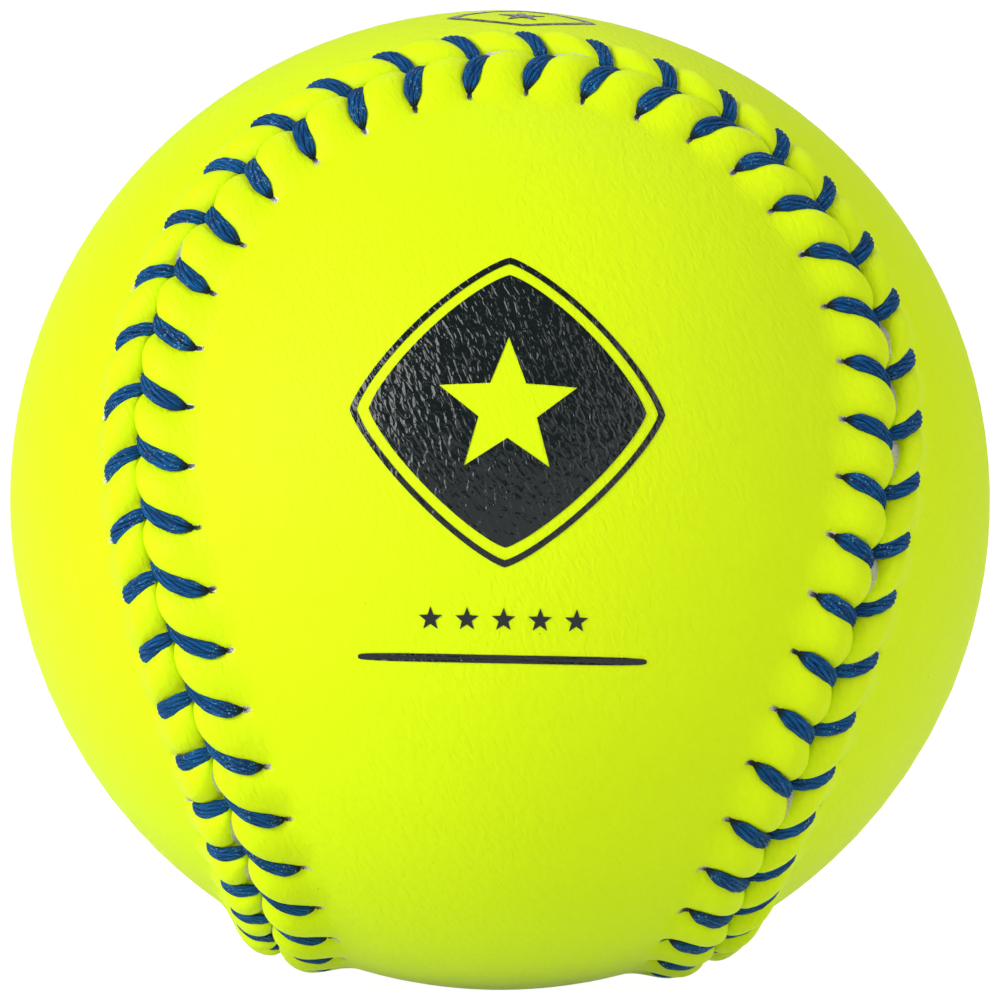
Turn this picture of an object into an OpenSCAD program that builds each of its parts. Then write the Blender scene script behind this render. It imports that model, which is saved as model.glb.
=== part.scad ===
// A sewn fastpitch softball. Two figure-eight cover panels lie round a solid moulded core and are
// laced together along one closed seam, whose edges puff up in pillows between the stitches.
// The front panel runs from the front lobe (-Y) under the ball (-Z) to the back lobe (+Y), and the
// top panel from the left lobe (-X) over the top (+Z) to the right lobe (+X). Millimetres, +Z up,
// with the origin at the centre of the ball.

/* [Ball] */
// Girth of the ball round its plain cover
girth = 304.8; // [279.4:0.1:310]

/* [Cover] */
// Thickness of the coated yellow face
face_t = 0.9; // [0.6:0.05:1.4]
// Thickness of the pale felt backing that is bonded under the face
backing_t = 1.4; // [1.2:0.05:2]
// Thickness of the dried cement between the core and the cover
cement_t = 0.2; // [0.1:0.05:0.4]

/* [Seam] */
// Number of stitches along the whole seam
stitches = 88; // [80:4:92]
// Height of the pillows between the stitches, above the plain cover
pillow_h = 2.2; // [1.4:0.1:2.6]
// Height of the valleys that the thread lies in, above the plain cover
valley_h = 1.1; // [0.8:0.1:1.2]
// Width of a valley's floor along the seam
valley_w = 2.2; // [1.8:0.1:2.6]
// Distance from the middle of the seam to the pillows' highest line
crest_inset = 2.3; // [2:0.1:2.8]
// Distance from the middle of the seam to the foot of the pillows
foot_inset = 8.4; // [7.6:0.1:9]
// Width of the gap between the two panels' pillows
seam_gap = 0.3; // [0.2:0.05:0.5]
// Width across the seam of the opening where the threads go down
notch_w = 1.2; // [1.1:0.05:1.6]

/* [Stitches] */
// Distance from the middle of the seam to the needle holes
hole_inset = 6.1; // [5.5:0.1:6.5]
// Diameter of the needle holes
hole_d = 1.3; // [1.2:0.05:1.5]
// How far each arm of a stitch leans forward along the seam, from its hole to the gap
lean_length = 2.9; // [2:0.1:3.2]
// Width of the thread where it lies over the cover
thread_w = 1.4; // [1:0.05:1.5]
// Thickness of the thread where it lies over the cover
thread_t = 0.8; // [0.6:0.05:0.9]
// Width of the thread where it is squeezed in a hole, in the gap and under the cover
thread_in_w = 0.9; // [0.7:0.05:1]
// Thickness of the thread where it is squeezed
thread_in_t = 0.7; // [0.5:0.05:0.8]
// Free room between the thread and what it lies on or passes through
thread_gap = 0.1; // [0.05:0.01:0.15]

/* [Hidden] */

// Radii of the layers, from the plain cover inwards
ball_r = girth / (2 * PI);
backing_r = ball_r - face_t;
cement_r = backing_r - backing_t;
core_r = cement_r - cement_t;

// The seam is x = cos t - k cos 3t, y = sin t + k sin 3t, z = -c cos 2t, pressed onto the ball.
// The first share, k, sets how narrow the panels' waists are, and c how far their lobes reach.
waist_share = 0.5225;
reach_share = 1.048;
// Where the first hole lies along the seam, as a share of the stitch pitch
first_hole_share = -0.09;

// Sides of the seam that the panels lie on
FRONT = -1;
TOP = 1;

// Heights of the pillows and valleys at the gap, and how deep their foot dips into the cover
pillow_edge_h = 0.9;
valley_edge_h = 0.2;
foot_dip = 0.4;
// Where the shoulder lies on the way from crest to foot, and how much of the rise above the foot
// it keeps in a valley and on a pillow
shoulder_share = 0.38;
shoulder_rise_shares = [0.58, 0.68];
// Where a pillow's two top lines lie between its valleys
pillow_line_shares = [0.28, 0.72];
// Where a panel's plain sheet ends, under its pillows, as a share of the holes' inset
plain_edge_share = 0.52;
// How far the thread's tail reaches along its last run under the cover
tail_share = 0.55;
// Number of flat sides round the thread, which is odd
thread_sides = 5;

// Degrees once round
full_turn = 360;
// Steps that the seam's length is measured in, and the small turn that its direction is taken over
seam_steps = 720;
seam_turn = 0.1;
// Reach of cuts past what they cut, and of the wedges that the panels are cut with
overrun = 1;
wedge_r = 1.5 * ball_r;
wedge_peak_r = 2 * ball_r;
wedge_steps = 176;
fine = 96;
hole_fn = 24;
// Turn of the round layers about Z, which keeps their meridians off the seam's points of symmetry
layer_turn = 17;

function unit(v) = v / norm(v);
function seam_dir(t) =
    unit([
        cos(t) - waist_share * cos(3 * t),
        sin(t) + waist_share * sin(3 * t),
        -reach_share * cos(2 * t)
    ]);

// Length along the seam against the angle t, and the pitch of the stitches on it
seam_dots = [for (i = [0:seam_steps]) ball_r * seam_dir(full_turn * i / seam_steps)];
seam_table = [
    for (
        i = 0, s = 0;
        i <= seam_steps;
        i = i + 1, s = i > seam_steps ? s : s + norm(seam_dots[i] - seam_dots[i - 1])
    ) [s, full_turn * i / seam_steps]
];
seam_length = seam_table[seam_steps][0];
pitch = seam_length / stitches;
function seam_t(s) = lookup(s - seam_length * floor(s / seam_length), seam_table);

// The way that the seam runs at s, and a point w beside it on the cover, moved to radius r
function seam_ahead(s) = unit(seam_dir(seam_t(s) + seam_turn) - seam_dir(seam_t(s) - seam_turn));
function beside_seam(s, w, r) =
    let (
        u = seam_dir(seam_t(s)),
        a = w / ball_r * 180 / PI
    )
    r * (u * cos(a) + unit(cross(u, seam_ahead(s))) * sin(a));

// The holes' places along the seam. The stitches lean forward from their holes to the gap, and
// so do the valleys and pillows between them.
function hole_s(i) = pitch * (i + first_hole_share);
function leaned(w) = lean_length * max(0, 1 - w / hole_inset);

// Lines across the cover that repeat with every stitch: two along its valley, two over a pillow.
// Each entry is its place along the seam and whether it lies on a pillow.
pillow_w = pitch - valley_w;
lines = [
    [-valley_w / 2, false],
    [valley_w / 2, false],
    for (share = pillow_line_shares) [valley_w / 2 + pillow_w * share, true]
];
columns = stitches * len(lines);
function line_of(column) = lines[column % len(lines)];

// Rows beside the seam: distance on a valley and on a pillow, height of a valley and of a pillow
shoulder_inset = crest_inset + shoulder_share * (foot_inset - crest_inset);
valley_shoulder_h = shoulder_rise_shares[0] * (valley_h + foot_dip) - foot_dip;
pillow_shoulder_h = shoulder_rise_shares[1] * (pillow_h + foot_dip) - foot_dip;
rows = [
    [[notch_w / 2, seam_gap / 2], [valley_edge_h, pillow_edge_h]],
    [[crest_inset, crest_inset], [valley_h, pillow_h]],
    [[shoulder_inset, shoulder_inset], [valley_shoulder_h, pillow_shoulder_h]],
    [[foot_inset, foot_inset], [-foot_dip, -foot_dip]]
];
EDGE = 0;
FOOT = 3;
function valley_at(w) = lookup(w, [for (row = rows) [row[0][0], row[1][0]]]);
function row_w(row, column) = rows[row][0][line_of(column)[1] ? 1 : 0];
function row_h(row, column) = rows[row][1][line_of(column)[1] ? 1 : 0];

// The point of a panel's raised edge on one row and column, moved to radius r
function edge_point(side, row, column, r) =
    let (
        w = row_w(row, column),
        s = hole_s(floor(column / len(lines))) + line_of(column)[0] + leaned(w)
    )
    beside_seam(s, side * w, r);

// The faces between two closed rings of n points, and a list of faces turned inside out
function band(a, b, n) = [for (i = [0:n - 1]) each [
    [a + i, a + (i + 1) % n, b + (i + 1) % n],
    [a + i, b + (i + 1) % n, b + i]
]];
function turned(faces) = [for (f = faces) [f[0], f[2], f[1]]];

// The raised edge of one panel as a closed ring of pillows and valleys, down to radius low_r
module raised_edge(side, low_r) {
    over = [for (row = [EDGE:FOOT]) for (c = [0:columns - 1])
        edge_point(side, row, c, ball_r + row_h(row, c))];
    under = [for (row = [FOOT, EDGE]) for (c = [0:columns - 1]) edge_point(side, row, c, low_r)];
    rings = FOOT + 3;
    faces = [for (k = [0:rings - 1]) each band(k * columns, (k + 1) % rings * columns, columns)];
    polyhedron(points = concat(over, under), faces = side == TOP ? turned(faces) : faces);
}

// Three directions along a panel's middle line: into its lobes and over its waist
function middle(side) = side == FRONT ? [[0, -1, 0], [0, 0, -1], [0, 1, 0]]
                                      : [[-1, 0, 0], [0, 0, 1], [1, 0, 0]];
function nearest(side, p) =
    let (near = [for (m = middle(side)) m * p])
    near[1] > max(near[0], near[2]) ? 1 : near[0] > near[2] ? 0 : 2;

// All that lies under one panel from the ball's centre outwards, up to a distance from the seam
module wedge(side, inset) {
    n = wedge_steps;
    edge = [for (i = [0:n - 1]) beside_seam(i * seam_length / n, side * inset, wedge_r)];
    peaks = [for (p = edge) n + 1 + nearest(side, p)];
    sides = [for (i = [0:n - 1]) [n, (i + 1) % n, i]];
    caps = [for (i = [0:n - 1]) let (j = (i + 1) % n) each [
        [i, j, peaks[i]],
        if (peaks[i] != peaks[j]) [j, peaks[j], peaks[i]]
    ]];
    faces = concat(sides, caps);
    points = concat(edge, [[0, 0, 0]], [for (m = middle(side)) wedge_peak_r * m]);
    polyhedron(points = points, faces = side == TOP ? turned(faces) : faces);
}

// Turns its children to stand out from the ball at p, with their X axis along the way given
module stand_at(p, way) {
    z = unit(p);
    y = unit(cross(z, way));
    x = cross(y, z);
    multmatrix([
        [x.x, y.x, z.x, 0],
        [x.y, y.y, z.y, 0],
        [x.z, y.z, z.z, 0],
        [0, 0, 0, 1]
    ]) translate([0, 0, norm(p)]) children();
}

module layer(r) {
    rotate([0, 0, layer_turn])
        sphere(r = r, $fn = fine);
}

module needle_holes(side, low_r, high_r) {
    for (i = [0:stitches - 1])
        stand_at(beside_seam(hole_s(i), side * hole_inset, low_r), seam_ahead(hole_s(i)))
            cylinder(h = high_r - low_r, d = hole_d, $fn = hole_fn);
}

// Where the thread runs under the cover, clear of the cement, and where it goes down the gap.
// The threads of both sides go down there side by side, the front panel's one further along.
under_r = cement_r + thread_in_t / 2 + 2 * thread_gap;
function dive_s(i, side) = hole_s(i) + lean_length - side * (thread_in_w + thread_gap) / 2;

// Channels in a panel's backing, each from the gap to the hole where that thread comes up
module thread_channels(side) {
    width = thread_in_w + 2 * thread_gap;
    height = under_r + thread_in_t / 2 + thread_gap - (cement_r - overrun);
    for (i = [0:stitches - 1]) {
        start = beside_seam(dive_s(i - 1, -side), 0, under_r);
        end = beside_seam(hole_s(i), side * hole_inset, under_r);
        length = norm(end - start);
        stand_at((start + end) / 2, end - start)
            translate([-length / 2, -width / 2, cement_r - overrun - under_r])
                cube([length, width, height]);
    }
}

module panel_face(side) {
    color([0.8, 1, 0.05])
        difference() {
            union() {
                intersection() {
                    layer(ball_r);
                    wedge(side, plain_edge_share * hole_inset);
                }
                raised_edge(side, backing_r - overrun);
            }
            layer(backing_r);
            needle_holes(side, backing_r - overrun, ball_r + pillow_h + overrun);
        }
}

module panel_backing(side) {
    color([0.85, 0.84, 0.78])
        difference() {
            intersection() {
                layer(backing_r);
                wedge(side, notch_w / 2);
            }
            layer(cement_r);
            needle_holes(side, cement_r - overrun, ball_r);
            thread_channels(side);
        }
}

module core() {
    color([0.93, 0.9, 0.8])
        layer(core_r);
}

module cement_film() {
    color([0.75, 0.68, 0.5])
        difference() {
            layer(cement_r);
            layer(core_r);
        }
}

// One stitch: up the hole, over the valley, down the gap, then on under the other panel.
// Each stop is its place along the seam, its distance beside it and its radius, then the
// thread's width and thickness there.
function stitch(i, side) =
    let (
        lift = ball_r + thread_gap + thread_t / 2,
        crest_s = hole_s(i) + leaned(crest_inset)
    )
    [
        [hole_s(i), side * hole_inset, under_r, thread_in_w, thread_in_t],
        [hole_s(i), side * hole_inset, lift + valley_at(hole_inset), thread_in_w, thread_in_t],
        [crest_s, side * crest_inset, lift + valley_at(crest_inset), thread_w, thread_t],
        [dive_s(i, side), 0, lift + valley_at(0), thread_in_w, thread_in_t],
        [dive_s(i, side), 0, under_r, thread_in_w, thread_in_t]
    ];

// The thread's outline at stop i, square to its way there, with its width along the seam
function outline(stops, dots, i) =
    let (
        back = i > 0 ? unit(dots[i] - dots[i - 1]) : [0, 0, 0],
        on = i < len(dots) - 1 ? unit(dots[i + 1] - dots[i]) : [0, 0, 0],
        way = unit(back + on),
        ahead = seam_ahead(stops[i][0]),
        wide = unit(ahead - (ahead * way) * way),
        high = cross(way, wide),
        half = stops[i][3] / 2 / cos(90 / thread_sides),
        low = cos(180 / thread_sides),
        rise = stops[i][4] / (1 + low)
    )
    [for (k = [0:thread_sides - 1]) let (a = 90 + full_turn * k / thread_sides)
        dots[i] + wide * half * cos(a) + high * rise * (sin(a) - (1 - low) / 2)];

// One whole thread, which changes sides at every stitch and ends in a tail under the cover
module thread(first_side) {
    last_side = stitches % 2 == 0 ? -first_side : first_side;
    down = stitch(stitches - 1, last_side)[4];
    up = stitch(stitches, -last_side)[0];
    stops = concat(
        [for (i = [0:stitches - 1]) each stitch(i, i % 2 == 0 ? first_side : -first_side)],
        [down + tail_share * (up - down)]
    );
    dots = [for (stop = stops) beside_seam(stop[0], stop[1], stop[2])];
    last = len(stops) - 1;
    points = [for (i = [0:last]) each outline(stops, dots, i)];
    walls = [for (i = [0:last - 1]) each band(i * thread_sides, (i + 1) * thread_sides, thread_sides)];
    ends = [for (k = [1:thread_sides - 2]) each [
        [0, k + 1, k],
        [0, k, k + 1] + last * thread_sides * [1, 1, 1]
    ]];
    color([0.03, 0.2, 0.5])
        polyhedron(points = points, faces = turned(concat(walls, ends)));
}

module front_panel_backing() panel_backing(FRONT);
module front_panel_face() panel_face(FRONT);
module top_panel_backing() panel_backing(TOP);
module top_panel_face() panel_face(TOP);
module thread_a() thread(TOP);
module thread_b() thread(FRONT);

core();
cement_film();
front_panel_backing();
front_panel_face();
top_panel_backing();
top_panel_face();
thread_a();
thread_b();
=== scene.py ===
import math

import bpy
import numpy as np
from mathutils import Euler, Matrix, Vector


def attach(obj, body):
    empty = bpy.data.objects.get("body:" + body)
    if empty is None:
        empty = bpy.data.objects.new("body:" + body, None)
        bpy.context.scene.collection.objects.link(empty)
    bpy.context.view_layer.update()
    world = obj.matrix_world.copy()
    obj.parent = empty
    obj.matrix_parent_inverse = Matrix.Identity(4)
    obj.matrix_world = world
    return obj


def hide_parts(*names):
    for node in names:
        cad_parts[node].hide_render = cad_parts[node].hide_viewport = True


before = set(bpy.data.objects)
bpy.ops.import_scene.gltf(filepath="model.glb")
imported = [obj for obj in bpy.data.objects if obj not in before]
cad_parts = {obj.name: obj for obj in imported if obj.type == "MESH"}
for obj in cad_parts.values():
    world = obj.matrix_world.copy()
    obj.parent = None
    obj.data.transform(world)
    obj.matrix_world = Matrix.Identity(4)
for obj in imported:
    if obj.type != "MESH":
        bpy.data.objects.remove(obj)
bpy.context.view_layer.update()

# The ball's round core
# A ball of dense moulded polyurethane, with a dull skin and a few small blow marks. The cover hides
# it. Shader maths is written with the class below, which stands for one output of a node.
MM = 0.001
white = (1.0, 1.0, 1.0, 1.0)


class Socket:
    """One output of a node in a material. Sums and products of sockets add Math nodes to it."""

    def __init__(self, tree, out):
        self.tree, self.out = tree, out

    def node(self, kind, settings, inputs, output=0):
        """Adds a node with its settings, sets or links its inputs, and gives one of its outputs."""
        new = self.tree.nodes.new("ShaderNode" + kind)
        for name, value in settings.items():
            setattr(new, name, value)
        for name, value in inputs.items():
            if isinstance(value, Socket):
                self.tree.links.new(value.out, new.inputs[name])
            else:
                new.inputs[name].default_value = value
        return Socket(self.tree, new.outputs[output])

    def maths(self, operation, *values):
        """One sum or other operation on sockets and numbers."""
        return self.node("Math", {"operation": operation}, dict(enumerate(values)))

    def __add__(self, other):
        return self.maths("ADD", self, other)

    def __radd__(self, other):
        return self.maths("ADD", other, self)

    def __rsub__(self, other):
        return self.maths("SUBTRACT", other, self)

    def __mul__(self, other):
        return self.maths("MULTIPLY", self, other)

    def __rmul__(self, other):
        return self.maths("MULTIPLY", other, self)

    def fade(self, low, high):
        """0 below low and 1 above high, with a smooth step between them."""
        limits = {"Value": self, "From Min": low, "From Max": high}
        return self.node("MapRange", {"interpolation_type": "SMOOTHSTEP"}, limits)

    def tint(self, low, high):
        """A colour between two colours, where this socket goes from 0 to 1."""
        return self.node("Mix", {"data_type": "RGBA"}, {0: self, 6: low, 7: high}, output=2)

    def stretched(self, factors):
        """This place, with each of its axes made longer or shorter."""
        return self.node("VectorMath", {"operation": "MULTIPLY"}, {0: self, 1: factors})

    def noise(self, size, detail=2.0, roughness=0.5):
        """Soft noise from 0 to 1 at this place, with lumps of about that size in metres."""
        inputs = {"Vector": self, "Scale": 1 / size, "Detail": detail, "Roughness": roughness}
        return self.node("TexNoise", {}, inputs)

    def cells(self, size):
        """Distance to the nearest of the points that are scattered about that far apart in metres."""
        return self.node("TexVoronoi", {}, {"Vector": self, "Scale": 1 / size})

    def bump(self, distance):
        """A normal that is pushed in and out by this height, up to a distance in metres."""
        return self.node("Bump", {}, {"Height": self, "Distance": distance, "Strength": 1.0})


def new_material(name):
    """A material with a plain shader, and sockets for that shader and for the place on the object."""
    material = bpy.data.materials.new(name)
    material.use_nodes = True
    tree = material.node_tree
    shader = tree.nodes["Principled BSDF"]
    place = Socket(tree, tree.nodes.new("ShaderNodeTexCoord").outputs["Object"])
    return material, shader, place


def feed(shader, **inputs):
    """Sets or links a shader's inputs. An underscore in a name stands for a space."""
    for name, value in inputs.items():
        socket = shader.inputs[name.replace("_", " ")]
        if isinstance(value, Socket):
            value.tree.links.new(value.out, socket)
        else:
            socket.default_value = value


def finish_node(name, material):
    """Gives a piece of the frame its finish."""
    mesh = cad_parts[name].data
    mesh.materials.clear()
    mesh.materials.append(material)
    mesh.polygons.foreach_set("material_index", np.zeros(len(mesh.polygons), np.int32))


foam, shader, place = new_material("core_foam")
mottle = place.noise(9 * MM, detail=4.0)
blows = place.cells(2.4 * MM).fade(0.1, 0.24)
feed(
    shader,
    Base_Color=mottle.tint((0.62, 0.55, 0.36, 1), (0.8, 0.74, 0.56, 1)),
    Roughness=0.62 + 0.15 * mottle,
    Normal=(blows + 0.3 * mottle).bump(0.12 * MM),
)
finish_node("core", foam)

# The cement
# A brushed coat of contact cement, dried to a tacky brown film, which holds the cover to the core.
# The cover hides it but for a dark glimpse down the seam.
cement, shader, place = new_material("dried_cement")
strokes = place.stretched((1, 1, 0.25)).noise(1.5 * MM, detail=3.0)
feed(
    shader,
    Base_Color=strokes.tint((0.22, 0.15, 0.06, 1), (0.4, 0.31, 0.16, 1)),
    Roughness=0.35 + 0.3 * strokes,
    Normal=strokes.bump(0.08 * MM),
)
finish_node("cement_film", cement)

# The felt backings
# Off-white needled felt under each yellow face, die-cut to the same figure eight. Its cut edge
# shows in the seam where two pillows don't quite meet.
felt_light = (0.83, 0.8, 0.72, 1)
felt_dark = (0.42, 0.38, 0.3, 1)
felt, shader, place = new_material("needled_felt")
lumps = place.noise(0.5 * MM, detail=5.0, roughness=0.7)
hairs = place.stretched((1, 1, 0.2)).noise(0.12 * MM, detail=2.0)
feed(
    shader,
    Base_Color=(0.6 * lumps + 0.4 * hairs).fade(0.3, 0.6).tint(felt_dark, felt_light),
    Roughness=0.95,
    Sheen_Weight=0.3,
    Normal=(lumps + 0.5 * hairs).bump(0.1 * MM),
)
finish_node("front_panel_backing", felt)
finish_node("top_panel_backing", felt)

# The seam
# One closed curve, which splits the ball into two figure-eight panels: the front one with its
# waist under the ball, and the top one with its waist over it. The stitches are spaced along it.
girth = 304.8 * MM
ball_r = girth / (2 * math.pi)
waist_share, reach_share = 0.5225, 1.048
stitches = 88
first_hole_share = -0.09
FRONT, TOP = -1, 1
SEAM_STEPS = 7200


def unit(v):
    """Directions of vectors, at length one."""
    return v / np.linalg.norm(v, axis=-1, keepdims=True)


def seam_dir(t):
    """Direction of the seam from the ball's centre, at an angle that goes once round."""
    x = np.cos(t) - waist_share * np.cos(3 * t)
    y = np.sin(t) + waist_share * np.sin(3 * t)
    return unit(np.stack([x, y, -reach_share * np.cos(2 * t)], -1))


seam_angles = np.linspace(0, 2 * math.pi, SEAM_STEPS + 1)
seam_chords = np.linalg.norm(np.diff(ball_r * seam_dir(seam_angles), axis=0), axis=1)
seam_lengths = np.concatenate([[0], np.cumsum(seam_chords)])
seam_length = seam_lengths[-1]
pitch = seam_length / stitches


def beside_seam(s, w):
    """Direction of a point at length s along the seam and w beside it, to the top panel's side."""
    t = np.interp(s % seam_length, seam_lengths, seam_angles)
    tiny_turn = 1e-4
    out = seam_dir(t)
    across = unit(np.cross(out, seam_dir(t + tiny_turn) - seam_dir(t - tiny_turn)))
    turn = (w / ball_r)[..., None]
    return out * np.cos(turn) + across * np.sin(turn)


# The yellow faces
# Synthetic hide with a fine slanting grain, die-cut in a figure eight. The stitches pull its edge
# down into valleys, and it puffs up in pillows between them. Each needle hole is a short torn slit.
cover_t = 0.9 * MM
face_low_r = ball_r - cover_t
hole_inset = 5.8 * MM
crest_inset = 2.3 * MM
foot_inset, valley_foot_in = 8.5 * MM, 1.1 * MM
slope_end_inset = 9.8 * MM
plain_inset = 11 * MM
pillow_h, valley_h = 2.2 * MM, 1.1 * MM
pillow_edge_h, valley_edge_h = 0.95 * MM, 0.1 * MM
pillow_edge_inset, valley_edge_inset = 0.03 * MM, 0.34 * MM
pillow_fullness, slope_fullness = 0.8, 1.3
lean, lean_bend = 2.9 * MM, 1.35
valley_half_w = 0.55 * MM
slit_inset, slit_deep, slit_half, slit_half_w = 0.05 * MM, 0.45 * MM, 0.65 * MM, 0.36 * MM
wall_top_in, wall_rise = 0.1 * MM, 0.6
cut_w = 0.15 * MM
COLUMNS, ROUND_RINGS, SLOPE_RINGS = 20, 12, 25
column_crowding = 1.25
even_shift = 12
hole_jitter = 0.22 * MM
pillow_jitter = 0.07

random = np.random.default_rng(12)
hole_shifts = {side: hole_jitter * random.uniform(-1, 1, stitches) for side in (FRONT, TOP)}
pillow_swells = {side: 1 + pillow_jitter * random.uniform(-1, 1, stitches) for side in (FRONT, TOP)}

# Past some stitches the two edges don't quite meet. On the front lobe these are the top panel's
# edges at the stitches below, each with its share of the widest gape. Elsewhere they are random.
gape_w, gape_reach = 0.9 * MM, 4.2 * MM
gape_chances = {FRONT: 0.06, TOP: 0.2}
narrowest_gape = 0.35
front_lobe = slice(46, 85)
front_gapes = {46: 0.5, 47: 0.6, 48: 0.9, 49: 0.8, 50: 0.4, 59: 0.4, 65: 0.5, 66: 0.6, 69: 0.6}
front_gapes |= {73: 0.8, 74: 0.6, 75: 1, 77: 0.8, 81: 0.5}
gapes = {}
for side in (FRONT, TOP):
    opened = random.uniform(0, 1, stitches) < gape_chances[side]
    gapes[side] = gape_w * random.uniform(narrowest_gape, 1, stitches) * opened
    gapes[side][front_lobe] = 0
for number, share in front_gapes.items():
    gapes[TOP][number] = share * gape_w

# The ball is sewn by hand, so some stitches on the front lobe run ahead of an even pitch or behind
# it, and the seam strays a little beside its curve: in millimetres, at these stitches.
sewn_at = (0, 40, 46, 50, 54, 57, 60, 63, 66, 69, 72, 75, 78, 81, 84, 88)
hole_leads = {
    FRONT: (0, 0, 0.1, 0.5, -0.6, -0.6, 0.3, 1.4, 1.5, 1.7, 1.2, 1.6, 1.1, -0.4, 0, 0),
    TOP: (0, 0, -0.3, 0.2, 0.4, 0, 0, -0.4, 0.7, 1.2, 0.9, -0.4, -1.3, 0.1, 0, 0),
}
gap_leads = (0, 0, -0.8, -0.3, -0.4, -0.5, -0.9, -0.1, 0.7, 1.2, 0.9, 0, -0.9, -0.7, 0, 0)
strays = (0, 0, 0.2, 0.5, 0.75, 0.3, -0.3, 0.1, 0.9, 1.0, 1.45, 1.15, 0.45, 0.6, 0.5, 0)


def sewn_s(side, number, w, further=0.0):
    """Length along the seam on a stitch's slanting line, at a distance w beside the seam."""
    number = number % stitches
    hole = np.interp(number, sewn_at, hole_leads[side]) * MM
    gap = np.interp(number, sewn_at, gap_leads) * MM
    slant = (lean + further + gap - hole) * np.clip(1 - w / hole_inset, 0, 1) ** lean_bend
    return pitch * (number + first_hole_share) + hole + slant


def sewn_w(side, number, w):
    """Distance beside the seam's curve, to the top panel's side, of a place on a stitch's line."""
    near = np.clip((plain_inset - w) / (plain_inset - foot_inset), 0, 1)
    return side * w + np.interp(number % stitches, sewn_at, strays) * MM * near


def lean_cosine(w):
    """Cosine of the angle between a stitch's line and the shortest way to the seam."""
    slope = lean_bend * lean / hole_inset * np.clip(1 - w / hole_inset, 0, 1) ** (lean_bend - 1)
    return 1 / np.sqrt(1 + slope**2)


def pillow_mask(along, w):
    """0 in a valley and 1 on the back of a pillow, at a length from the valley's middle line."""
    cosine = lean_cosine(w)
    away = (np.abs(along) * cosine - valley_half_w) / (pitch / 2 * cosine - valley_half_w)
    return (1 - (1 - np.clip(away, 0, 1)) ** 2) ** pillow_fullness


def gape(side, stitch, along):
    """How far a panel's edge stands back, just past a stitch that doesn't pull the seam shut."""
    past = np.where(along > 0, along, pitch + along)
    wide = gapes[side][(stitch - (along <= 0)) % stitches]
    return wide * np.sin(math.pi * np.clip(past / gape_reach, 0, 1) ** 0.5)


def slope_down(w, mask):
    """1 at the crest and 0 at the foot, in a smooth curve. A pillow's foot stands further out."""
    foot = foot_inset - valley_foot_in * (1 - mask)
    x = np.clip((w - crest_inset) / (foot - crest_inset), 0, 1)
    return (0.5 + 0.5 * np.cos(math.pi * x)) ** slope_fullness


def ridge(side, stitch, along, w, rounding):
    """Height of a panel's edge above the plain ball, and how deep in a needle's slit a place is.

    rounding is 0 at the gap and 1 at the crest.
    """
    mask = pillow_mask(along, w)
    swell = pillow_swells[side][(stitch + (along > 0)) % stitches]
    crest = valley_h + (pillow_h * swell - valley_h) * mask
    edge = valley_edge_h + (pillow_edge_h - valley_edge_h) * mask
    height = np.where(w < crest_inset, edge + (crest - edge) * rounding, crest * slope_down(w, mask))
    hole = hole_inset + hole_shifts[side][stitch]
    outward = (w - hole + slit_inset) / slit_half
    pit = np.exp(-(outward**2) ** 2 - (along / slit_half_w) ** 2)
    return height - slit_deep * pit, pit


def halved(a, n, b):
    """Faces from a ring of n points, the first of them a, to a ring of half as many."""
    half = n // 2
    i = np.arange(half)
    left, middle, right = a + 2 * i, a + 2 * i + 1, a + (2 * i + 2) % n
    low, high = b + i, b + (i + 1) % half
    return [np.stack(f, 1) for f in ((left, middle, low), (middle, high, low), (middle, right, high))]


def banded(a, n, b):
    """Faces between two rings of n points."""
    i = np.arange(n)
    j = (i + 1) % n
    return [np.stack([a + i, a + j, b + j], 1), np.stack([a + i, b + j, b + i], 1)]


def mesh_object(name, points, faces, smooth=True):
    """An object made of points in metres and of triangles."""
    mesh = bpy.data.meshes.new(name)
    mesh.vertices.add(len(points))
    mesh.vertices.foreach_set("co", np.asarray(points, np.float32).ravel())
    mesh.loops.add(3 * len(faces))
    mesh.loops.foreach_set("vertex_index", np.asarray(faces, np.int32).ravel())
    mesh.polygons.add(len(faces))
    mesh.polygons.foreach_set("loop_start", np.arange(0, 3 * len(faces), 3, dtype=np.int32))
    mesh.polygons.foreach_set("use_smooth", np.full(len(faces), smooth))
    mesh.update(calc_edges=True)
    mesh.validate()
    piece = bpy.data.objects.new(name, mesh)
    bpy.context.scene.collection.objects.link(piece)
    return piece


def add_values(piece, name, values):
    """Keeps one number for each point of a mesh, which its material reads."""
    layer = piece.data.attributes.new(name, "FLOAT", "POINT")
    layer.data.foreach_set("value", np.asarray(values, np.float32))


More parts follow.
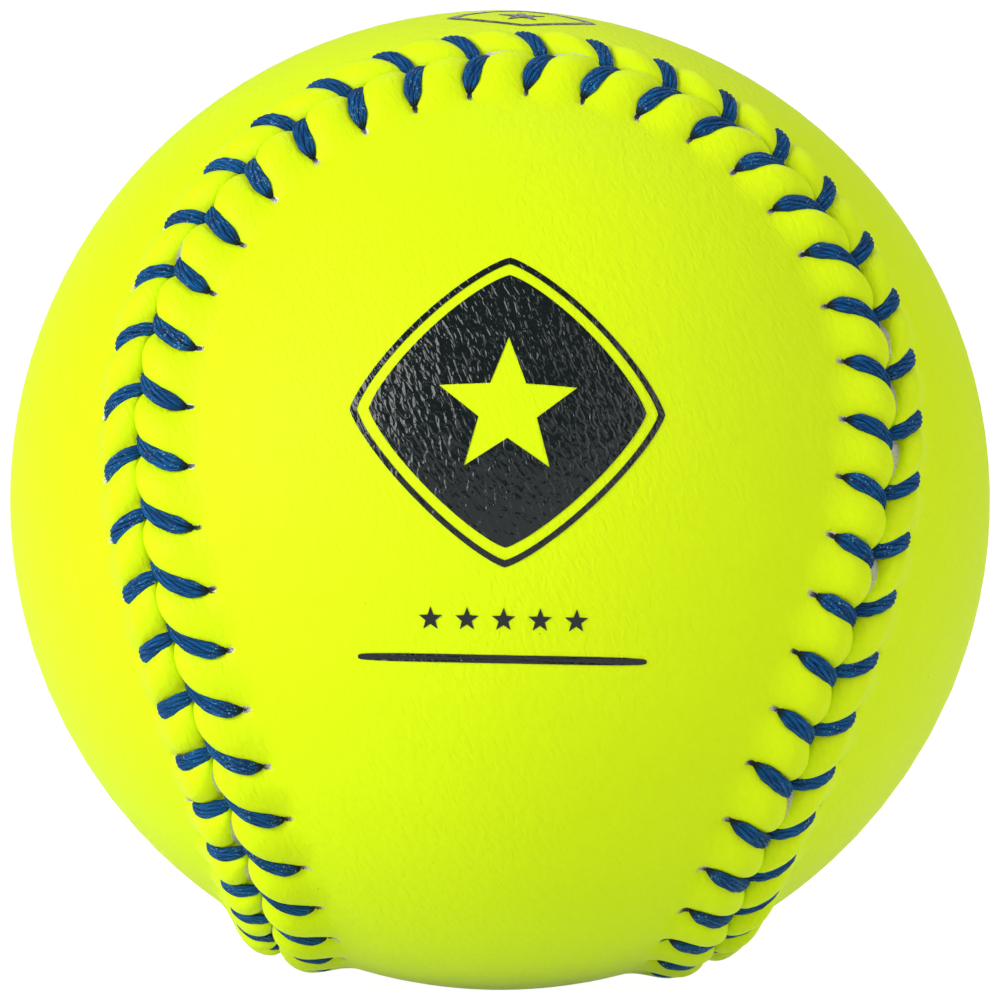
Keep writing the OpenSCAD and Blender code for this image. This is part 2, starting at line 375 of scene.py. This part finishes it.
def panel(side, name):
    """One yellow face: its flesh side, the wall in the gap, the ridge, and the plain cover within."""
    lobe = np.array([0.0, 1, 0]) if side == FRONT else np.array([1.0, 0, 0])
    waist = np.array([0.0, 0, -1]) if side == FRONT else np.array([0.0, 0, 1])
    n = COLUMNS * stitches
    spread = np.linspace(-1, 1, COLUMNS, endpoint=False) + 1 / COLUMNS
    along = np.tile(pitch / 2 * np.sign(spread) * np.abs(spread) ** column_crowding, stitches)
    stitch = np.repeat(np.arange(stitches), COLUMNS)
    number = stitch + along / pitch
    low_w = valley_edge_inset + (pillow_edge_inset - valley_edge_inset) * pillow_mask(along, 0 * along)
    open_w = gape(side, stitch, along)
    edge_w = low_w + open_w
    cut = np.clip(open_w / cut_w, 0, 1)
    rings, torn = [], []

    def add_ring(directions, radius, fibre):
        """A ring of points at one radius or many, each with how much torn fibre shows there."""
        rings.append(directions * np.broadcast_to(radius, len(directions))[:, None])
        torn.append(np.broadcast_to(fibre, len(directions)))

    def at(w):
        """Directions of all the columns at a distance beside the seam."""
        return beside_seam(sewn_s(side, number, w), sewn_w(side, number, w))

    # The plain cover's rings close in on the panel's middle line, which runs from lobe to lobe over
    # the waist, and have fewer points there: each second, fourth or eighth of the columns. The
    # points lie evenly along the seam, so that both sides meet on that line.
    even = pitch / COLUMNS * (np.arange(n) - even_shift)
    plain = beside_seam(even, np.full(n, side * plain_inset))
    lobe_end = math.radians(105)
    turn = np.clip(np.arctan2(plain @ lobe, plain @ waist), -lobe_end, lobe_end)[:, None]
    line = np.sin(turn) * lobe + np.cos(turn) * waist
    angle = np.arccos(np.clip((plain * line).sum(1), -1, 1))[:, None]

    def inside(share, step):
        """Directions on the plain cover, from its edge at share 0 to the middle line at share 1."""
        return unit(plain * np.sin(angle * (1 - share)) + line * np.sin(angle * share))[::step]

    # From the middle line out over the flesh side, up the wall in the gap, over the ridge and back.
    for share, step in ((1.0, 8), (0.66, 8), (0.33, 8), (0.1, 4), (0.03, 2)):
        add_ring(inside(share, step), face_low_r, 0.0)
    add_ring(plain, face_low_r, 0.0)
    wall_torn, edge_torn = 0.5 + 0.5 * cut, 0.35 + 0.65 * cut
    add_ring(at(low_w), face_low_r, wall_torn)
    add_ring(at(low_w), ball_r - wall_top_in + wall_rise * open_w, wall_torn)
    for rounding in np.sin(np.linspace(0, math.pi / 2, ROUND_RINGS)):
        w = edge_w + (crest_inset - edge_w) * (1 - math.sqrt(1 - rounding**2))
        height, _ = ridge(side, stitch, along, w, rounding)
        add_ring(at(w), ball_r + height, edge_torn * max(0, 1 - 2 * rounding))
    for step in np.linspace(crest_inset, foot_inset, SLOPE_RINGS + 1)[1:]:
        w = np.full(n, step)
        height, pit = ridge(side, stitch, along, w, 1.0)
        add_ring(at(w), ball_r + height, pit)
    add_ring(at(np.full(n, slope_end_inset)), ball_r, 0.0)
    add_ring(plain, ball_r, 0.0)
    for share, step in ((0.03, 2), (0.08, 4)):
        add_ring(inside(share, step), ball_r, 0.0)
    for share in (0.15, 0.25, 0.37, 0.5, 0.63, 0.76, 0.88, 1):
        add_ring(inside(share, 8), ball_r, 0.0)

    starts = np.cumsum([0] + [len(r) for r in rings])
    faces = []
    for k in range(len(rings) - 1):
        a, b, m, p = starts[k], starts[k + 1], len(rings[k]), len(rings[k + 1])
        if m == p:
            faces += banded(a, m, b)
        elif m > p:
            faces += halved(a, m, b)
        else:
            faces += [f[:, ::-1] for f in halved(b, p, a)]
    faces = np.concatenate(faces)

    # The first and the last ring lie on the middle line, where the points of both sides are joined.
    lobe_stitch = stitches / 4 if side == FRONT else 0
    for first in (starts[0], starts[-2]):
        k = np.arange(n // 8)
        twin = (int(2 * (lobe_stitch * COLUMNS + even_shift) / 8) - k) % len(k)
        ends = turn[::8, 0]
        joined = np.minimum(k, twin)
        for limit in (lobe_end, -lobe_end):
            joined[ends == limit] = np.flatnonzero(ends == limit)[0]
        renamed = np.arange(starts[-1])
        renamed[first + k] = first + joined
        faces = renamed[faces]
    whole = (faces[:, 0] != faces[:, 1]) & (faces[:, 1] != faces[:, 2]) & (faces[:, 2] != faces[:, 0])
    faces = faces[whole]
    if side == FRONT:
        faces = faces[:, ::-1]
    piece = mesh_object(name, np.concatenate(rings), faces)
    add_values(piece, "torn", np.concatenate(torn))
    return piece


grain_slant, grain_size = 0.45, 1 * MM


def hide_grain(place):
    """The fine slanting creases that are rolled into the hide, from 0 to 1."""
    turned = place.node("VectorRotate", {"rotation_type": "Y_AXIS"}, {"Vector": place, "Angle": grain_slant})
    drawn = turned.stretched((1.9, 1.2, 0.8))
    creases = {"Vector": drawn, "Scale": 1 / grain_size, "Detail": 1.2, "Distortion": 0.6}
    return place.node("TexNoise", {}, creases).fade(0.3, 0.7)


hide, shader, place = new_material("yellow_hide")
torn = place.node("Attribute", {"attribute_name": "torn"}, {}, output="Fac")
grain = hide_grain(place)
pores = place.noise(0.16 * MM, detail=2.0)
clouds = place.noise(14 * MM, detail=3.0)
specks = 1 - place.cells(2.6 * MM).fade(0.016, 0.034)
dusty = specks * place.noise(5 * MM).fade(0.5, 0.6)
fibre = place.noise(0.14 * MM, detail=3.0, roughness=0.7)
patches = place.noise(3.5 * MM, detail=2.0).fade(0.45, 0.7)
frayed = (torn + 0.3 * patches + 0.35 * fibre).fade(0.72, 0.9)
yellow = clouds.tint((0.68, 0.89, 0.0006, 1), (0.72, 0.93, 0.001, 1))
speckled = dusty.tint(yellow, (0.2, 0.3, 0.02, 1))
# The torn felt in the slits and gaps is partly its own off-white and partly painted light: it is painted
# lighter than the felt backing, up to white, to make up for the shade there.
off_white = fibre.fade(0.3, 0.5).tint((0.5, 0.45, 0.3, 1), (1, 0.97, 0.86, 1))
feed(
    shader,
    Base_Color=frayed.tint(speckled, off_white),
    Roughness=0.53 + 0.1 * pores + 0.3 * frayed,
    Specular_IOR_Level=0.15,
    Normal=(grain + 0.25 * pores + 3 * frayed * fibre).bump(0.04 * MM),
)
for side, name, node in ((FRONT, "front_face", "front_panel_face"), (TOP, "top_face", "top_panel_face")):
    face = panel(side, name)
    face.data.materials.append(hide)
    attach(face, "root")
    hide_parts(node)

# The threads
# Two waxed threads of blue filaments, each sewn from panel to panel: up a needle hole, over the
# edge in its valley, down the gap and on under the other panel. Eight twisted plies make a thread.
thread_w, thread_t = 1.74 * MM, 0.88 * MM
thread_tip_w, thread_tip_t = 0.85 * MM, 0.5 * MM
squeezed_w, squeezed_t = 0.8 * MM, 0.55 * MM
bed = 0.34 * MM
mouth_insets = {FRONT: 0.6 * MM, TOP: 0.9 * MM}
mouth_turn_in, mouth_turn_deep, mouth_sink = 0.1 * MM, 0.55 * MM, 0.4 * MM
gap_inset, gap_turn_deep = 0.15 * MM, 0.2 * MM
gap_past, gap_low_past = -0.05 * MM, -0.1 * MM
under_r = 46.78 * MM
dive_half = 0.5 * MM
ARM_STOPS = 14
arm_crowding, edge_fullness = 1.25, 0.55
tip_share, tip_fullness = 0.2, 1.7
dive_from, dive_share, dive_narrowing, dive_fullness = 0.8, 0.2, 0.6, 1.5
# Painted shade: the thread is darkened where it goes down into a needle hole, and less where it goes into
# the gap.
tip_shade_share, gap_shade_share = 0.22, 0.3
PLIES, PLY_SIDES = 8, 7
twist_turns, twist_long = 0.5, 7.5 * MM
ply_ring_w, ply_ring_t = 0.74, 0.5
ply_w_share, ply_t_share = 0.29, 0.48
filament_lead = 2.2


def thread_path(first_side):
    """Stops of a thread: places along and beside the seam, radius, width, thickness, and how much painted
    shade darkens it there.
    """
    stops = []
    for i in range(stitches):
        side = first_side if i % 2 == 0 else -first_side
        further = -side * dive_half
        mouth = hole_inset + hole_shifts[side][i] - mouth_insets[side]

        def stop(w, radius, width, thick, shade_share):
            """Adds one stop on this stitch's line."""
            stops.append((sewn_s(side, i, w, further), sewn_w(side, i, w), radius, width, thick, shade_share))

        stop(mouth + mouth_turn_in, under_r, squeezed_w, squeezed_t, 1.0)
        stop(mouth + mouth_turn_in, ball_r - mouth_turn_deep, squeezed_w, squeezed_t, 1.0)
        for u in np.linspace(0.0, 1.0, ARM_STOPS) ** arm_crowding:
            w = mouth * (1 - u) + gap_inset * u
            on_edge = min(1, w / crest_inset) ** edge_fullness
            on_edge = valley_edge_h + (valley_h - valley_edge_h) * on_edge
            top = on_edge if w < crest_inset else valley_h * slope_down(w, 0)
            near_hole = max(0, 1 - u / tip_share)
            near_dive = max(0, (u - dive_from) / dive_share)
            full = (1 - near_hole**tip_fullness) * (1 - dive_narrowing * near_dive**dive_fullness)
            width = thread_tip_w + (thread_w - thread_tip_w) * full
            thick = thread_tip_t + (thread_t - thread_tip_t) * full
            radius = ball_r + top + bed - mouth_sink * near_hole**2
            stop(w, radius, width, thick, max(0, 1 - u / tip_shade_share))
        stop(gap_past, ball_r - gap_turn_deep, squeezed_w, squeezed_t, gap_shade_share)
        stop(gap_low_past, under_r, squeezed_w, squeezed_t, gap_shade_share)
    return np.array(stops)


def tube_faces(base, rings, sides):
    """Faces of a closed tube, whose rings of points start at base."""
    last = base + (rings - 1) * sides
    fan = np.array([(0, k, k + 1) for k in range(1, sides - 1)])
    bands = []
    for first in range(base, last, sides):
        bands += banded(first, sides, first + sides)
    return bands + [base + fan[:, ::-1], last + fan]


def thread(first_side, name):
    """One whole thread, with its plies swept along its stops."""
    stops = thread_path(first_side)
    s, w, radius, full_w, full_t, shade_share = stops.T
    dots = beside_seam(s, w) * radius[:, None]
    step = 0.05 * MM
    ahead = unit(beside_seam(s + step, 0 * s) - beside_seam(s - step, 0 * s))
    way = unit(np.gradient(dots, axis=0))
    wide = unit(ahead - (ahead * way).sum(1, keepdims=True) * way)
    high = np.cross(way, wide)
    gone = np.concatenate([[0], np.cumsum(np.linalg.norm(np.diff(dots, axis=0), axis=1))])
    turn = 2 * math.pi * np.arange(PLY_SIDES) / PLY_SIDES
    n = len(stops)
    points, faces, lengths, rounds, dips = [], [], [], [], []
    for ply in range(PLIES):
        twist = 2 * math.pi * (twist_turns * gone / twist_long + ply / PLIES)
        side_way = full_w / 2 * ply_ring_w * np.cos(twist)
        up_way = full_t / 2 * ply_ring_t * np.sin(twist)
        centre = dots + wide * side_way[:, None] + high * up_way[:, None]
        half_w = (full_w / 2 * ply_w_share)[:, None, None]
        half_t = (full_t / 2 * ply_t_share)[:, None, None]
        ring = centre[:, None] + wide[:, None] * half_w * np.cos(turn)[None, :, None]
        ring = ring + high[:, None] * half_t * np.sin(turn)[None, :, None]
        points.append(ring.reshape(-1, 3))
        faces += tube_faces(ply * n * PLY_SIDES, n, PLY_SIDES)
        lengths.append(np.repeat(gone, PLY_SIDES))
        rounds.append(np.tile(turn, n) + np.repeat(filament_lead * twist, PLY_SIDES) + ply)
        dips.append(np.repeat(shade_share, PLY_SIDES))
    piece = mesh_object(name, np.concatenate(points), np.concatenate(faces))
    add_values(piece, "gone", np.concatenate(lengths))
    add_values(piece, "round", np.concatenate(rounds))
    add_values(piece, "dip", np.concatenate(dips))
    return piece


yarn, shader, place = new_material("blue_yarn")
gone = place.node("Attribute", {"attribute_name": "gone"}, {}, output="Fac")
around = place.node("Attribute", {"attribute_name": "round"}, {}, output="Fac")
dip = place.node("Attribute", {"attribute_name": "dip"}, {}, output="Fac")
turn_x, turn_y = around.maths("COSINE", around), around.maths("SINE", around)
lay_along, lay_round = 250, 2
lay = place.node("CombineXYZ", {}, {"X": lay_along * gone, "Y": lay_round * turn_x, "Z": lay_round * turn_y})
filaments = lay.node("TexNoise", {}, {"Vector": lay, "Scale": 1.0, "Detail": 3.0, "Roughness": 0.6})
lint = place.noise(0.2 * MM, detail=2.0).fade(0.6, 0.7) * place.noise(2.2 * MM).fade(0.4, 0.6)
# Painted shade: the thread turns almost black where it goes down into a needle hole and into the gap.
painted_shade = (dip + 0.9 * filaments).fade(1.1, 1.5)
strand = filaments.fade(0.36, 0.64).tint((0.0002, 0.012, 0.06, 1), (0.001, 0.118, 0.36, 1))
linted = (lint * (0.6 + 0.4 * dip)).tint(strand, (0.36, 0.58, 0.66, 1))
feed(
    shader,
    Base_Color=painted_shade.tint(linted, (0.01, 0.02, 0.02, 1)),
    Roughness=0.55 + 0.25 * filaments,
    Specular_IOR_Level=0.16,
    Normal=filaments.bump(0.12 * MM),
)
for first_side, name, node in ((TOP, "sewn_thread_a", "thread_a"), (FRONT, "sewn_thread_b", "thread_b")):
    sewn = thread(first_side, name)
    sewn.data.materials.append(yarn)
    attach(sewn, "root")
    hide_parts(node)

# The torn fibre at the needle holes
# Each needle tears a little of the cover's woven lining out with it, which stays beside the thread
# as a tuft of short off-white fibres, pressed outwards onto the cover.
# Each fibre is painted near black at its root in the hole, as painted shade, and off-white further out.
TUFT_FIBRES, FIBRE_STOPS, FIBRE_SIDES = 14, 5, 5
fibre_long, fibre_half = 1.15 * MM, 0.11 * MM
tuft_root_in = 0.3 * MM
longest_share, shortest_share = 1.2, 0.6
fibre_taper = 0.85


def torn_tufts(name):
    """A few bent, tapering fibres at every needle hole, as one piece."""
    u = np.linspace(0, 1, FIBRE_STOPS)
    turn = 2 * math.pi * np.arange(FIBRE_SIDES) / FIBRE_SIDES
    turn_x, turn_y = np.cos(turn)[None, :, None], np.sin(turn)[None, :, None]
    points, faces, outs = [], [], []
    for side in (FRONT, TOP):
        for i in range(stitches):
            tuft_long = fibre_long * random.uniform(shortest_share, longest_share)
            shade_shift = random.uniform(-0.25, 0.2)
            root = hole_inset + hole_shifts[side][i] - tuft_root_in
            for _ in range(TUFT_FIBRES):
                sway, length = random.uniform(-0.22, 0.22), tuft_long * random.uniform(0.4, 1)
                rise, shift = random.uniform(-0.15, 0.22), random.uniform(-0.2, 0.2) * MM
                w = root + length * u * math.cos(sway)
                beside = shift + length * u * math.sin(sway)
                ground, _ = ridge(side, np.full(FIBRE_STOPS, i), beside, w, 1.0)
                lift = ground + 0.5 * fibre_half + rise * MM * u * (1.1 - u)
                s = sewn_s(side, i, w) + beside
                dots = beside_seam(s, sewn_w(side, i, w)) * (ball_r + lift)[:, None]
                way = unit(np.gradient(dots, axis=0))
                wide = unit(np.cross(way, unit(dots)))
                high = np.cross(way, wide)
                half = fibre_half * random.uniform(0.6, 1.3) * (1 - fibre_taper * u)
                ring = wide[:, None] * turn_x + high[:, None] * turn_y
                faces += tube_faces(len(points) * FIBRE_STOPS * FIBRE_SIDES, FIBRE_STOPS, FIBRE_SIDES)
                points.append((dots[:, None] + half[:, None, None] * ring).reshape(-1, 3))
                outs.append(np.repeat(shade_shift + length * u / fibre_long, FIBRE_SIDES))
    piece = mesh_object(name, np.concatenate(points), np.concatenate(faces))
    add_values(piece, "out", np.concatenate(outs))
    return piece


lining, shader, place = new_material("torn_lining")
strands = place.noise(0.12 * MM, detail=3.0)
out = place.node("Attribute", {"attribute_name": "out"}, {}, output="Fac")
# Painted shade: the fibres darken towards their roots down in the needle hole.
shaded_fibre, fibre_white = (0.02, 0.03, 0.015, 1), (0.8, 0.77, 0.64, 1)
feed(
    shader,
    Base_Color=(out + 1.6 * strands).fade(0.95, 1.6).tint(shaded_fibre, fibre_white),
    Roughness=0.9,
    Normal=strands.bump(0.06 * MM),
)
tufts = torn_tufts("hole_tufts")
tufts.data.materials.append(lining)
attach(tufts, "root")

# The printed marks
# Dark green-black foil, hot-stamped into the grain of the cover as thin films: a diamond round a
# star on the front, with a row of five small stars and one rule under it, and a small star in an
# open diamond on the top panel.
foil_lift, foil_t = 0.015 * MM, 0.03 * MM
pinhole_share = 0.02
TURNS = 240
turns = 2 * math.pi * np.arange(TURNS) / TURNS


def on_ball(centre, upward, x, y, radius):
    """Points of a flat drawing laid on the ball, x to the right of its centre and y above it."""
    out = unit(np.array(centre, float))
    right = unit(np.cross(upward, out))
    length = np.hypot(x, y)[:, None]
    way = (x[:, None] * right + y[:, None] * np.cross(out, right)) / np.maximum(length, 1e-9)
    return radius * (out * np.cos(length / ball_r) + way * np.sin(length / ball_r))


def foil(name, centre, inner, outer, steps, upward=(0, 0, 1)):
    """A closed film between two outlines, or all over the outer one if the inner is None."""
    filled = inner is None
    if filled:
        middle = outer.mean(axis=0)
        inner = middle + (outer - middle) * pinhole_share
    layers = [inner + (outer - inner) * k / steps for k in range(steps + 1)]
    rings = [on_ball(centre, upward, *line.T, ball_r + foil_lift + foil_t) for line in layers]
    rings += [on_ball(centre, upward, *line.T, ball_r - foil_t) for line in layers[::-1]]
    n, last = len(outer), len(rings) - 1
    faces = []
    for k in range(last if filled else last + 1):
        faces += banded(k * n, n, (k + 1) % len(rings) * n)
    if filled:
        fan = np.array([(0, k, k + 1) for k in range(1, n - 1)])
        faces += [fan[:, ::-1], last * n + fan]
    film = mesh_object(name, np.concatenate(rings), np.concatenate(faces)[:, ::-1], smooth=False)
    film.data.materials.append(foil_black)
    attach(film, "root")


def round_diamond(half_w, half_h, bow):
    """Outline of a diamond with bowed sides, as x and y."""
    reach = (np.abs(np.cos(turns) / half_w) ** bow + np.abs(np.sin(turns) / half_h) ** bow) ** (-1 / bow)
    return np.stack([reach * np.cos(turns), reach * np.sin(turns)], 1)


def star(radius, waist=0.42, shift=(0, 0)):
    """Outline of a five-pointed star with one point up, as x and y."""
    half = math.pi / 5
    turn = np.abs((turns - math.pi / 2 + half) % (2 * half) - half)
    reach = radius * waist * math.sin(half) / (waist * np.sin(half - turn) + np.sin(turn))
    return np.stack([reach * np.cos(turns), reach * np.sin(turns)], 1) + np.array(shift)


foil_black, shader, place = new_material("printed_foil")
speckle = place.noise(0.12 * MM, detail=2.0)
worn = place.noise(0.35 * MM, detail=4.0, roughness=0.75).fade(0.7, 0.8)
inked = speckle.fade(0.45, 0.7).tint((0.0004, 0.0035, 0.004, 1), (0.0006, 0.012, 0.009, 1))
feed(
    shader,
    Base_Color=worn.tint(inked, (0.03, 0.1, 0.05, 1)),
    Roughness=0.12 + 0.08 * speckle,
    Specular_IOR_Level=0.4,
    Normal=(hide_grain(place) + 0.06 * speckle).bump(0.09 * MM),
)
front_centre = (-0.0215, -0.98, 0.275)
front_half, star_r = 13.4 * MM, 7 * MM
line_in, line_out, bow = 14.6 * MM, 15.3 * MM, 1.25
front_outline = round_diamond(front_half, front_half, bow)
line_inner, line_outer = round_diamond(line_in, line_in, bow), round_diamond(line_out, line_out, bow)
foil("front_diamond", front_centre, star(star_r), front_outline, 30)
foil("front_diamond_line", front_centre, line_inner, line_outer, 3)
SMALL_STARS = 5
small_star_r, star_step, stars_drop = 1.2 * MM, 3.6 * MM, -20.4 * MM
for k in range(SMALL_STARS):
    small_star = star(small_star_r, shift=((k - SMALL_STARS // 2) * star_step, stars_drop))
    foil(f"front_small_star_{k + 1}", front_centre, None, small_star, 3)
rule_half, rule_half_h, rule_drop, rule_squareness = 14.6 * MM, 0.42 * MM, -24.3 * MM, 0.4
curve = np.stack([np.cos(turns), np.sin(turns)], 1)
rule = np.sign(curve) * np.abs(curve) ** rule_squareness * (rule_half, rule_half_h)
foil("front_rule", front_centre, None, rule + np.array((0, rule_drop)), 3)
top_centre = (0.02, -0.1, 0.99)
top_in, top_out, top_wide, top_star_r = 4.2 * MM, 4.9 * MM, 1.5, 2.4 * MM
top_inner = round_diamond(top_wide * top_in, top_in, bow)
top_outer = round_diamond(top_wide * top_out, top_out, bow)
foil("top_diamond_line", top_centre, top_inner, top_outer, 3, upward=(0, 1, 0))
foil("top_star", top_centre, None, star(top_star_r), 6, upward=(0, 1, 0))

# The floor, light and camera
# A white disc with its edge turned up as a cove, lit by a soft room and three soft boxes. It shows
# as white to the camera and in reflections, and keeps part of its shading, so the ball's soft
# shadow stays.
floor_r, cove_r = 4.0, 1.6
FLOOR_SIDES, COVE_STEPS = 96, 13
floor_turn = 2 * math.pi * np.arange(FLOOR_SIDES) / FLOOR_SIDES
circle = np.stack([np.cos(floor_turn), np.sin(floor_turn), 0 * floor_turn], 1)
rings = []
for slope in np.linspace(0, math.pi / 2, COVE_STEPS):
    height = cove_r * (1 - math.cos(slope)) - ball_r
    rings.append((floor_r + cove_r * math.sin(slope)) * circle + (0, 0, height))
faces = [np.array([(0, k, k + 1) for k in range(1, FLOOR_SIDES - 1)])]
for k in range(COVE_STEPS - 1):
    faces += [f[:, ::-1] for f in banded(k * FLOOR_SIDES, FLOOR_SIDES, (k + 1) * FLOOR_SIDES)]
floor = mesh_object("floor", np.concatenate(rings), np.concatenate(faces))
paper = bpy.data.materials.new("white_paper")
paper.use_nodes = True
tree = paper.node_tree
tree.nodes.remove(tree.nodes["Principled BSDF"])
rays = tree.nodes.new("ShaderNodeLightPath").outputs
seen = Socket(tree, rays["Is Camera Ray"])
seen = seen + Socket(tree, rays["Is Glossy Ray"]) + Socket(tree, rays["Is Transmission Ray"])
white_share = 0.9
matt = seen.node("BsdfDiffuse", {}, {"Color": (0.9, 0.9, 0.9, 1)})
glow = seen.node("Emission", {}, {"Color": white, "Strength": 1.1})
mixed = seen.node("MixShader", {}, {0: white_share * seen, 1: matt, 2: glow})
tree.links.new(mixed.out, tree.nodes["Material Output"].inputs["Surface"])
floor.data.materials.append(paper)

world = bpy.context.scene.world or bpy.data.worlds.new("room")
bpy.context.scene.world = world
world.use_nodes = True
room = world.node_tree.nodes["Background"]
room.inputs["Color"].default_value = white
room.inputs["Strength"].default_value = 0.28


def soft_box(name, place, size, power):
    """A large square lamp that faces the ball."""
    light = bpy.data.lights.new(name, "AREA")
    light.size = size
    light.energy = power
    lamp = bpy.data.objects.new(name, light)
    lamp.location = place
    lamp.rotation_euler = (-Vector(place)).to_track_quat("-Z", "Y").to_euler()
    bpy.context.scene.collection.objects.link(lamp)


soft_box("left_soft_box", (-0.98, -0.69, 0.44), 0.78, 14.0)
soft_box("right_soft_box", (1.42, -0.72, 0.98), 1.5, 13.0)
soft_box("back_soft_box", (0.2, 0.82, 1.35), 1.2, 6.5)

view_degrees = (5.228, 1.022, 1.93)
view_turn = Euler([math.radians(a) for a in view_degrees], "XYZ").to_matrix().transposed()
view_share = 25.25
ball_px, picture_px = 490, 1000
sensor_w = 36
camera = bpy.data.cameras.new("camera")
camera.sensor_width = sensor_w
camera.lens = sensor_w * ball_px * math.sqrt(view_share**2 - 1) / picture_px
camera.clip_end = 100
viewer = bpy.data.objects.new("camera", camera)
view_place = Matrix.Translation(view_turn @ Vector((0, -view_share * ball_r, 0)))
viewer.matrix_world = view_place @ (view_turn @ Matrix.Rotation(math.pi / 2, 3, "X")).to_4x4()
bpy.context.scene.collection.objects.link(viewer)
bpy.context.scene.camera = viewer
bpy.context.scene.view_settings.view_transform = "Standard"
